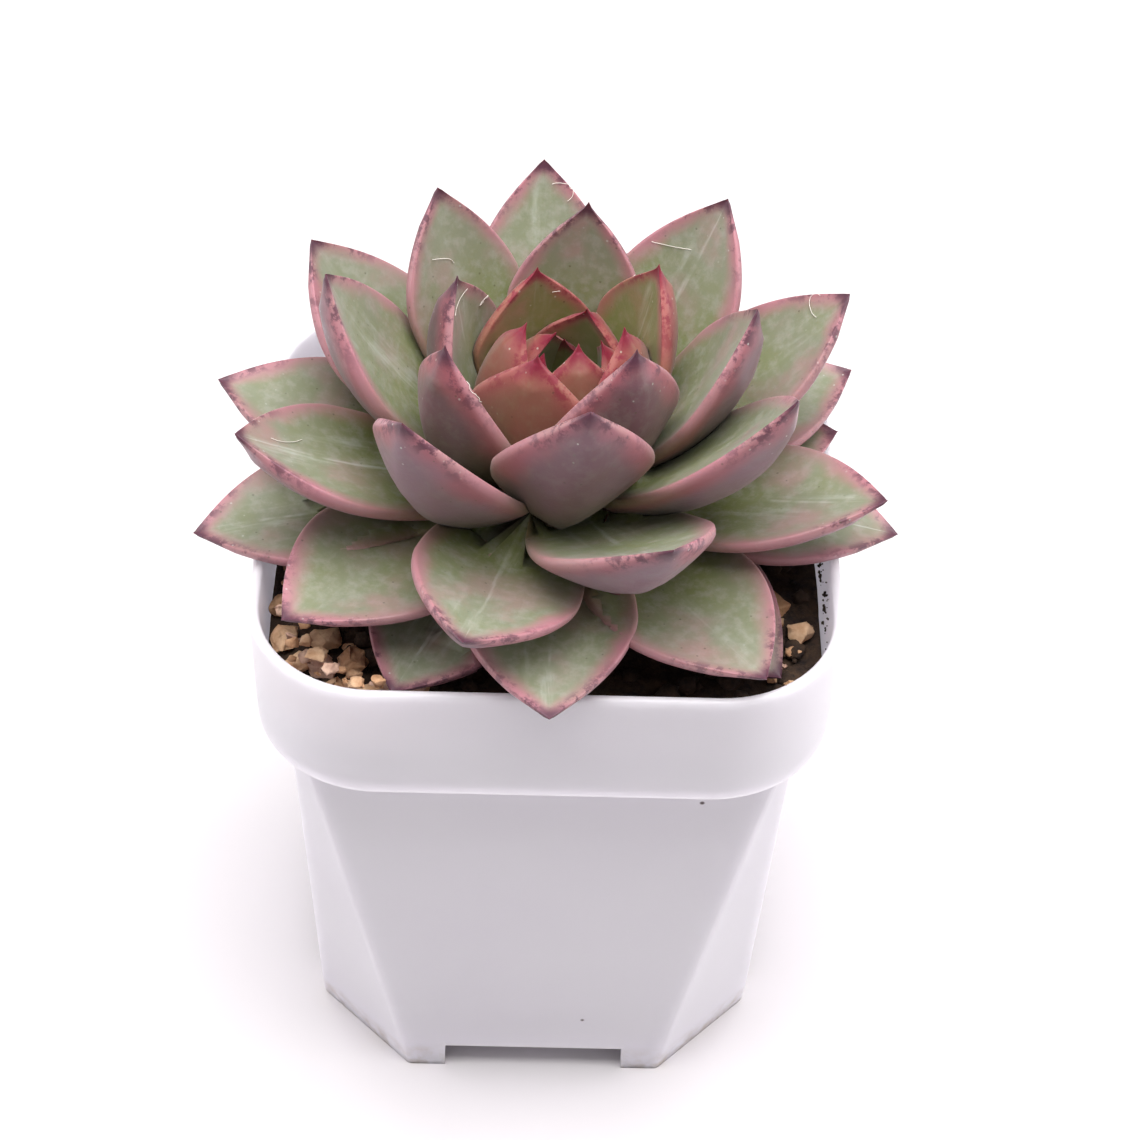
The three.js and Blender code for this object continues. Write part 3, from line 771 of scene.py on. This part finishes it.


# %% [markdown]
# ## The skin of a waxy leaf
#
# The skin is covered with a powdery wax, the bloom, which greys the green under it and makes the
# highlight broad. Strong light brings out red pigment where the leaf is most exposed: along the margin,
# on the underside and at the point, which dries to a dark purple. Where leaves lay folded in the bud,
# the wax was pressed and rubbed, and that leaves pale streaks and a broken line down the middle. The
# pale streaks along the trough are partly a painted highlight, which lays the shine of the glossy trough
# into the colour.

# %% Upper face
def upper_face(tree, marks, tones, broad, drift, veil, reach_in):
    """Green under a veil of wax, with pale wax streaks and painted highlight, a pink tinge and a red
    margin.
    """
    # Upper face: olive at the foot, grey green where the bloom is thick, and a paler veil over that.
    outer = add_node(tree, RANGE, SMOOTH, in0=marks["along"], in1=0.3, in2=0.85)
    bloomed = add_node(tree, MATH, PLUS, in0=outer, in1=drift)
    green = add_node(tree, MIX, COLOURS, in0=bloomed, in6=tones["olive"], in7=tones["grey_green"])
    veiled = add_node(tree, MIX, COLOURS, in0=veil, in6=green, in7=tones["bloom"])

    # Rubbed wax and painted highlight: soft pale streaks along the trough, partly rubbed wax and partly a
    # painted highlight where the glossy trough shines, and a thin broken line of rubbed wax down the middle
    # of the leaf.
    lengthways = add_node(tree, MATH, TIMES, in0=marks["along"], in1=5.0)
    grain_place = add_node(tree, "ShaderNodeCombineXYZ", X=lengthways, Y=marks["aside_mm"], Z=marks["seed"])
    streaks = add_node(tree, NOISE, Vector=grain_place, Scale=0.5, Detail=6.0, Roughness=0.6)
    pale_streaks_and_highlight = add_node(tree, RANGE, SMOOTH, in0=streaks, in1=0.48, in2=0.82, in3=0.0, in4=0.65)
    line_wander = add_node(tree, RANGE, in0=streaks, in1=0.3, in2=0.7, in3=-0.05, in4=0.05)
    off_line = add_node(tree, MATH, PLUS, in0=marks["across"], in1=line_wander)
    off_middle = add_node(tree, MATH, {"operation": "ABSOLUTE"}, in0=off_line)
    in_trough = add_node(tree, RANGE, SMOOTH, in0=off_middle, in1=0.1, in2=0.7, in3=1.0, in4=0.0)
    trough_wax_and_highlight = add_node(tree, MATH, TIMES, in0=pale_streaks_and_highlight, in1=in_trough)
    line = add_node(tree, RANGE, SMOOTH, in0=off_middle, in1=0.0, in2=0.045, in3=0.5, in4=0.0)
    line_from = add_node(tree, RANGE, SMOOTH, in0=broad, in1=0.42, in2=0.6)
    broken_line = add_node(tree, MATH, TIMES, in0=line, in1=line_from)
    wax = add_node(tree, MATH, {"operation": "MAXIMUM"}, in0=trough_wax_and_highlight, in1=broken_line)
    wax_and_highlight_here = add_node(tree, MATH, TIMES, in0=wax, in1=marks["worn"])
    # Where the trough shines, this pale mix is a painted highlight laid over the face colour.
    face = add_node(tree, MIX, COLOURS, in0=wax_and_highlight_here, in6=veiled, in7=tones["pale_wax_and_highlight"])

    # A pink tinge drifts over the outer half of the face, and the margin itself is deeper.
    tinge = add_node(tree, RANGE, SMOOTH, in0=broad, in1=0.48, in2=0.72, in3=0.0, in4=0.5)
    tinged_there = add_node(tree, MATH, TIMES, in0=tinge, in1=outer)
    tinged = add_node(tree, MIX, COLOURS, in0=tinged_there, in6=face, in7=tones["margin"])

    # Margin: red pigment fades out over 1 to 3 mm, and is weak near the foot.
    near_edge = add_node(tree, RANGE, SMOOTH, in0=reach_in, in1=-0.6, in2=3.0, in3=1.0, in4=0.0)
    exposed = add_node(tree, RANGE, SMOOTH, in0=marks["along"], in1=0.15, in2=0.8, in3=0.15, in4=1.0)
    blush = add_node(tree, MATH, TIMES, in0=near_edge, in1=exposed)
    top = add_node(tree, MIX, COLOURS, in0=blush, in6=tinged, in7=tones["margin"])
    return top


# %% Underside
def underside(tree, marks, tones, drift, veil, reach_in):
    """Redder than the face, because it's the side that strong light reaches in the bud."""
    # Underside: mauve over brick, with the strongest red just under the margin.
    ripe = add_node(tree, RANGE, SMOOTH, in0=marks["along"], in1=0.2, in2=0.75)
    ripened = add_node(tree, MATH, PLUS, in0=ripe, in1=drift)
    older = add_node(tree, RANGE, in0=marks["age"], in1=0.27, in2=0.5)
    mauve = add_node(tree, MIX, COLOURS, in0=older, in6=tones["young_mauve"], in7=tones["mauve"])
    belly = add_node(tree, MIX, COLOURS, in0=ripened, in6=tones["brick"], in7=mauve)
    thin_veil = add_node(tree, MATH, TIMES, in0=veil, in1=0.3)
    veiled_belly = add_node(tree, MIX, COLOURS, in0=thin_veil, in6=belly, in7=tones["bloom"])
    below_edge = add_node(tree, RANGE, SMOOTH, in0=reach_in, in1=-0.5, in2=3.4, in3=0.85, in4=0.0)
    flushed = add_node(tree, MIX, COLOURS, in0=below_edge, in6=veiled_belly, in7=tones["flush"])
    return flushed


# %% Points, specks and grains
def darken_point(tree, marks, tones, skin, mottle):
    """Dark purple blotches gather on the rim towards the point, and the point itself is darkest."""
    blotch = add_node(tree, RANGE, SMOOTH, in0=mottle, in1=0.46, in2=0.58)
    on_rim = add_node(tree, RANGE, SMOOTH, in0=marks["edge_mm"], in1=0.1, in2=2.2, in3=1.0, in4=0.0)
    near_tip = add_node(tree, RANGE, SMOOTH, in0=marks["tip_mm"], in1=2.0, in2=11.0, in3=0.85, in4=0.0)
    rim_blotch = add_node(tree, MATH, TIMES, in0=blotch, in1=on_rim)
    tip_blotch = add_node(tree, MATH, TIMES, in0=rim_blotch, in1=near_tip)
    blotched = add_node(tree, MIX, COLOURS, in0=tip_blotch, in6=skin, in7=tones["point"])
    ragged = add_node(tree, RANGE, in0=mottle, in1=0.3, in2=0.7, in3=-0.6, in4=0.6)
    to_point = add_node(tree, MATH, PLUS, in0=marks["tip_mm"], in1=ragged)
    dark = add_node(tree, RANGE, SMOOTH, in0=to_point, in1=0.1, in2=2.0, in3=0.95, in4=0.0)
    pointed = add_node(tree, MIX, COLOURS, in0=dark, in6=blotched, in7=tones["point"])
    return pointed


def scatter_specks(tree, marks, tones, pointed, shifted):
    """Specks of dirt and grains of wax."""
    cells = add_node(tree, "ShaderNodeTexVoronoi", Vector=shifted, Scale=1100.0)
    dot = add_node(tree, RANGE, SMOOTH, in0=cells.outputs["Distance"], in1=0.1, in2=0.2, in3=1.0, in4=0.0)
    pick = add_node(tree, "ShaderNodeSeparateColor", in0=cells.outputs["Color"])
    dirty = add_node(tree, RANGE, in0=pick.outputs[0], in1=0.88, in2=0.9, in3=0.0, in4=0.5)
    dirt = add_node(tree, MATH, TIMES, in0=dot, in1=dirty)
    specked = add_node(tree, MIX, COLOURS, in0=dirt, in6=pointed, in7=tones["speck"])
    waxy = add_node(tree, RANGE, in0=pick.outputs[1], in1=0.84, in2=0.86, in3=0.0, in4=1.0)
    by_tip = add_node(tree, RANGE, SMOOTH, in0=marks["tip_mm"], in1=2.0, in2=9.0, in3=0.5, in4=0.04)
    waxy_dot = add_node(tree, MATH, TIMES, in0=dot, in1=waxy)
    grains = add_node(tree, MATH, TIMES, in0=waxy_dot, in1=by_tip)
    finished = add_node(tree, MIX, COLOURS, in0=grains, in6=specked, in7=tones["pale_wax_and_highlight"])
    return finished


# %% The whole skin
LEAF_MARKS = ("along", "across", "under", "edge_mm", "tip_mm", "aside_mm", "age", "seed", "worn")


def waxy_leaf_skin(name, tones):
    """Thick living skin under powdery wax: broad soft highlights over mottled green, mauve and pink."""
    material, tree, surface = new_material(name)
    marks = {}
    for mark in LEAF_MARKS:
        marks[mark] = add_node(tree, "ShaderNodeAttribute", {"attribute_name": mark}).outputs["Fac"]
    place = add_node(tree, "ShaderNodeTexCoord").outputs["Object"]
    shifted = add_node(tree, "ShaderNodeVectorMath", PLUS, in0=place, in1=marks["seed"])
    broad = add_node(tree, NOISE, Vector=shifted, Scale=110.0, Detail=4.0)  # clouds 9 mm across
    mottle = add_node(tree, NOISE, Vector=shifted, Scale=620.0, Detail=6.0, Roughness=0.68)  # 1.6 mm
    fine = add_node(tree, NOISE, Vector=shifted, Scale=3200.0, Detail=3.0)  # 0.3 mm
    drift = add_node(tree, RANGE, in0=broad, in1=0.3, in2=0.7, in3=-0.3, in4=0.3)
    veil = add_node(tree, RANGE, SMOOTH, in0=mottle, in1=0.42, in2=0.68, in3=0.0, in4=0.5)
    wander = add_node(tree, RANGE, in0=broad, in1=0.3, in2=0.7, in3=-1.2, in4=1.2)
    reach_in = add_node(tree, MATH, PLUS, in0=marks["edge_mm"], in1=wander)
    top = upper_face(tree, marks, tones, broad, drift, veil, reach_in)
    belly = underside(tree, marks, tones, drift, veil, reach_in)
    skin = add_node(tree, MIX, COLOURS, in0=marks["under"], in6=top, in7=belly)
    pointed = darken_point(tree, marks, tones, skin, mottle)
    finished = scatter_specks(tree, marks, tones, pointed, shifted)

    satin = add_node(tree, RANGE, in0=mottle, in1=0.35, in2=0.7, in3=0.36, in4=0.56)
    rough = add_node(tree, MATH, {"operation": "MULTIPLY_ADD"}, in0=fine, in1=0.4, in2=mottle)
    bump = add_node(tree, "ShaderNodeBump", Strength=0.2, Distance=0.00015, Height=rough)
    fill(
        tree, surface, Base_Color=finished, Roughness=satin, IOR=1.45, Subsurface_Weight=0.15,
        Subsurface_Radius=(1.0, 0.55, 0.35), Subsurface_Scale=0.0012, Sheen_Weight=0.1,
        Sheen_Roughness=0.5, Normal=bump,
    )
    return material


# %% Skins for grown and young leaves
# The pale wax tone serves rubbed wax, grains of wax near the point, and the painted highlight in the
# trough.
grown_skin = waxy_leaf_skin("waxy leaf skin, full grown", {
    "olive": "#6f773b", "grey_green": "#7c806a", "bloom": "#98978b", "margin": "#a8727b",
    "brick": "#62543a", "young_mauve": "#64434a", "mauve": "#785b66", "flush": "#9a525d",
    "pale_wax_and_highlight": "#c8ccc4", "point": "#4a2436", "speck": "#47452f",
})
bud_skin = waxy_leaf_skin("waxy leaf skin, young", {
    "olive": "#6e773a", "grey_green": "#767547", "bloom": "#8a8263", "margin": "#a3605c",
    "brick": "#6b5a38", "young_mauve": "#825044", "mauve": "#825044", "flush": "#95494a",
    "pale_wax_and_highlight": "#c4c6b8", "point": "#7c1832", "speck": "#473428",
})
for n, leaf in enumerate(leaves):
    leaf.data.materials.append(bud_skin if n < BUD_LEAVES else grown_skin)
print("nodes in a leaf's skin:", len(grown_skin.node_tree.nodes))

# %% [markdown]
# ## Stem
#
# Only a short woody stem holds the rosette, and the leaves hide almost all of it. The solid's shape is
# right already, so it stays and only gets a corky skin.

# %% Cork
cork, tree, surface = new_material("corky stem skin, dry")
place = add_node(tree, "ShaderNodeTexCoord").outputs["Object"]
bark = add_node(tree, NOISE, Vector=place, Scale=900.0, Detail=6.0)
tone = add_node(tree, MIX, COLOURS, in0=bark, in6="#4d3f2a", in7="#9a8a66")
bump = add_node(tree, "ShaderNodeBump", Strength=0.6, Distance=0.0003, Height=bark)
fill(tree, surface, Base_Color=tone, Roughness=0.85, Normal=bump)
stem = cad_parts["stem"]
stem.data.materials.clear()
stem.data.materials.append(cork)
print("stem keeps its solid:", len(stem.data.polygons), "faces")

# %% [markdown]
# ## Gravel
#
# The gravel is a crushed, baked clay or soft stone: buff, angular, and a little dusty. Each stone
# starts from its own solid, so it lies in the same place. Its edges are worn by a small bevel, and its
# faces are broken up by a fine displacement, because the grit's own shape shows at this distance.
# Smaller bits fill the pile against the wall at the near left, and a few lie at the near right.

# %% Stones
def weathered(work, seed):
    """Takes a rough lump of corner points to a worn, gritty stone. The bmesh is in metres."""
    bmesh.ops.remove_doubles(work, verts=work.verts, dist=0.2 * MM)
    hull = bmesh.ops.convex_hull(work, input=work.verts)
    inside = {v for v in hull["geom_interior"] if isinstance(v, bmesh.types.BMVert)}
    bmesh.ops.delete(work, geom=list(inside), context="VERTS")
    bmesh.ops.dissolve_limit(work, angle_limit=0.2, verts=work.verts, edges=work.edges)
    bmesh.ops.triangulate(work, faces=work.faces)
    bmesh.ops.bevel(work, geom=list(work.edges), offset=0.22 * MM, segments=2, affect="EDGES",
                    profile=0.6, clamp_overlap=True)
    bmesh.ops.subdivide_edges(work, edges=list(work.edges), cuts=2, use_grid_fill=True)
    work.normal_update()
    for vertex in work.verts:
        rough = noise.noise(vertex.co * 700 + Vector((seed, 0, 0))) * 0.3
        rough += noise.noise(vertex.co * 2400 + Vector((0, seed, 0))) * 0.09
        vertex.co += vertex.normal * (rough - 0.1) * MM
    bmesh.ops.recalc_face_normals(work, faces=work.faces)


def make_stone(number):
    work = bmesh.new()
    work.from_mesh(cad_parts[f"stone_{number:02d}"].data)
    weathered(work, number)
    return piece_from(work, f"gravel_stone_{number:02d}")


def make_bit(number, centre, size):
    """A small stone: the hull of a few random corners."""
    work = bmesh.new()
    for _ in range(16):
        corner = Vector([random.gauss(0, 1) for _ in range(3)]).normalized()
        corner = Vector((corner.x, corner.y * 0.8, corner.z * 0.7)) * random.uniform(0.4, 0.55) * size
        work.verts.new(Vector(to_frame([np.array(centre) + np.array(corner)])[0]))
    weathered(work, 40 + number)
    return piece_from(work, f"gravel_bit_{number:02d}")


def crushed_stone(name, shade, light):
    """Crushed buff stone: dusty and matt, with grains that show."""
    material, tree, surface = new_material(name)
    place = add_node(tree, "ShaderNodeTexCoord").outputs["Object"]
    clouds = add_node(tree, NOISE, Vector=place, Scale=520.0, Detail=6.0, Roughness=0.65)
    grit = add_node(tree, NOISE, Vector=place, Scale=3000.0, Detail=3.0)
    spread = add_node(tree, RANGE, in0=clouds, in1=0.35, in2=0.65, in3=0.0, in4=1.0)
    tone = add_node(tree, MIX, COLOURS, in0=spread, in6=shade, in7=light)
    bump = add_node(tree, "ShaderNodeBump", Strength=0.5, Distance=0.00025, Height=grit)
    fill(tree, surface, Base_Color=tone, Roughness=0.9, Normal=bump)
    return material


stone_kinds = [
    crushed_stone("crushed buff stone", "#cf9f78", "#f3d0aa"),
    crushed_stone("crushed tan stone", "#bd8a64", "#eabd94"),
    crushed_stone("crushed pinkish stone", "#c09784", "#eccab2"),
]
stone_count = sum(name.startswith("stone_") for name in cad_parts)
taken = []
for number in range(1, stone_count + 1):
    stone = make_stone(number)
    stone.data.materials.append(stone_kinds[(0, 1, 0, 0, 2)[number % 5]])
    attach(stone, "root")
    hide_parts(f"stone_{number:02d}")
    low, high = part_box(f"stone_{number:02d}")
    taken.append(((low + high) / 2, max(high - low)))
print("stones on their own solids:", stone_count)

# %% Small bits
random.seed(23)
WALL_INSIDE = POT_WIDTH / 2 - WALL
LEFT_BITS, RIGHT_BITS = 86, 10
bits = []
while len(bits) < LEFT_BITS + RIGHT_BITS:
    near_right = len(bits) >= LEFT_BITS
    x, y = random.uniform(-33, -14), random.uniform(-33, 4)
    if near_right:
        x, y = random.uniform(24, 33), random.uniform(-32, -12)
    size = random.uniform(1.2, 4.0) if not near_right else random.uniform(1.2, 2.8)
    to_wall = min(WALL_INSIDE - abs(x), WALL_INSIDE - abs(y), 14.5 - into_corner(x, y))
    if not size / 2 + 0.2 < to_wall < 9:
        continue
    heaped = 0 if near_right else max(0, 7.0 - 0.8 * to_wall) * random.random() ** 0.5
    z = soil_height(x, y) + 0.25 * size + heaped
    centre = Vector(to_frame([(x, y, z)])[0])
    if all((centre - other).length > 0.42 * (size * MM + across) for other, across in taken):
        taken.append((centre, size * MM))
        bits.append((x, y, z, size))
for number, (x, y, z, size) in enumerate(bits):
    bit = make_bit(number, (x, y, z), size)
    bit.data.materials.append(stone_kinds[(0, 1, 2)[number % 3]])
    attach(bit, "root")
print("stones:", stone_count, "and small bits:", len(bits))

# %% [markdown]
# ## Crumbs on the wall, and lint
#
# Damp peat sticks to the inside of the wall above the compost, most of it at the right. Fine white lint
# settles on the leaves and catches on their points. Neither has a solid: both only dress the surface.

# %% Crumbs on the wall
WALL_CRUMB_COUNT = 110
work = bmesh.new()
for i in range(WALL_CRUMB_COUNT):
    patch = random.choice((-14, -6, -4, 6))
    y, z = random.gauss(patch, 2.2), POT_HEIGHT - 1.6 - 6.5 * random.random() ** 0.5
    add_lump(work, (WALL_INSIDE - 0.2, y, z), 0.15 + 0.6 * random.random() ** 3, 700 + i)
wall_crumbs = piece_from(work, "wall_crumbs")
wall_crumbs.data.materials.append(peat)
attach(wall_crumbs, "root")
print("crumb faces on the wall:", len(wall_crumbs.data.polygons))


# %% Lint
LINT_LEAVES = (9, 12, 12, 13, 14, 15, 17, 18, 19, 22, 24, 28, 33)  # counting from 0
LINT_POINTS = 12
LINT_STEP, LINT_LIFT = 0.55 * MM, 0.15 * MM
LINT_RADIUS = 0.000035  # metres


def make_lint(number, leaf_number, rng):
    """One fine hair, 0.07 mm thick, lying in a loose curve on a leaf's face near its point."""
    tree = leaf_trees[leaf_number]
    mesh = leaves[leaf_number].data
    along = np.empty(len(mesh.vertices))
    mesh.attributes["along"].data.foreach_get("value", along)
    under = np.empty(len(mesh.vertices))
    mesh.attributes["under"].data.foreach_get("value", under)
    on_face = np.nonzero((along > 0.6) & (along < 0.96) & (under == 0))[0]
    start = points_of(leaves[leaf_number])[rng.choice(on_face)]
    heading, turn = rng.uniform(0, 2 * math.pi), rng.uniform(-0.5, 0.5)
    here, path = Vector(start), []
    for _ in range(LINT_POINTS):
        spot, normal, _, _ = tree.find_nearest(here)
        path.append(spot + normal * LINT_LIFT)
        heading += turn + rng.uniform(-0.15, 0.15)
        step = Vector((math.cos(heading), math.sin(heading), 0))
        here = spot + (step - normal * step.dot(normal)) * LINT_STEP
    curve = bpy.data.curves.new(f"lint_{number:02d}", "CURVE")
    curve.dimensions, curve.bevel_depth, curve.bevel_resolution = "3D", LINT_RADIUS, 1
    line = curve.splines.new("POLY")
    line.points.add(len(path) - 1)
    for point, spot in zip(line.points, path):
        point.co = (*spot, 1)
    drawn = bpy.data.objects.new("lint", curve)
    bpy.context.scene.collection.objects.link(drawn)
    mesh = bpy.data.meshes.new_from_object(drawn.evaluated_get(bpy.context.evaluated_depsgraph_get()))
    bpy.data.objects.remove(drawn)
    hair = bpy.data.objects.new(f"lint_{number:02d}", mesh)
    bpy.context.scene.collection.objects.link(hair)
    soften(hair)
    return hair


cotton, tree, surface = new_material("cotton lint, off white")
fill(tree, surface, Base_Color="#e6dfd6", Roughness=0.75)
rng = np.random.default_rng(5)
for number, leaf_number in enumerate(LINT_LEAVES):
    hair = make_lint(number, leaf_number, rng)
    hair.data.materials.append(cotton)
    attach(hair, "root")
print("hairs of lint:", len(LINT_LEAVES))
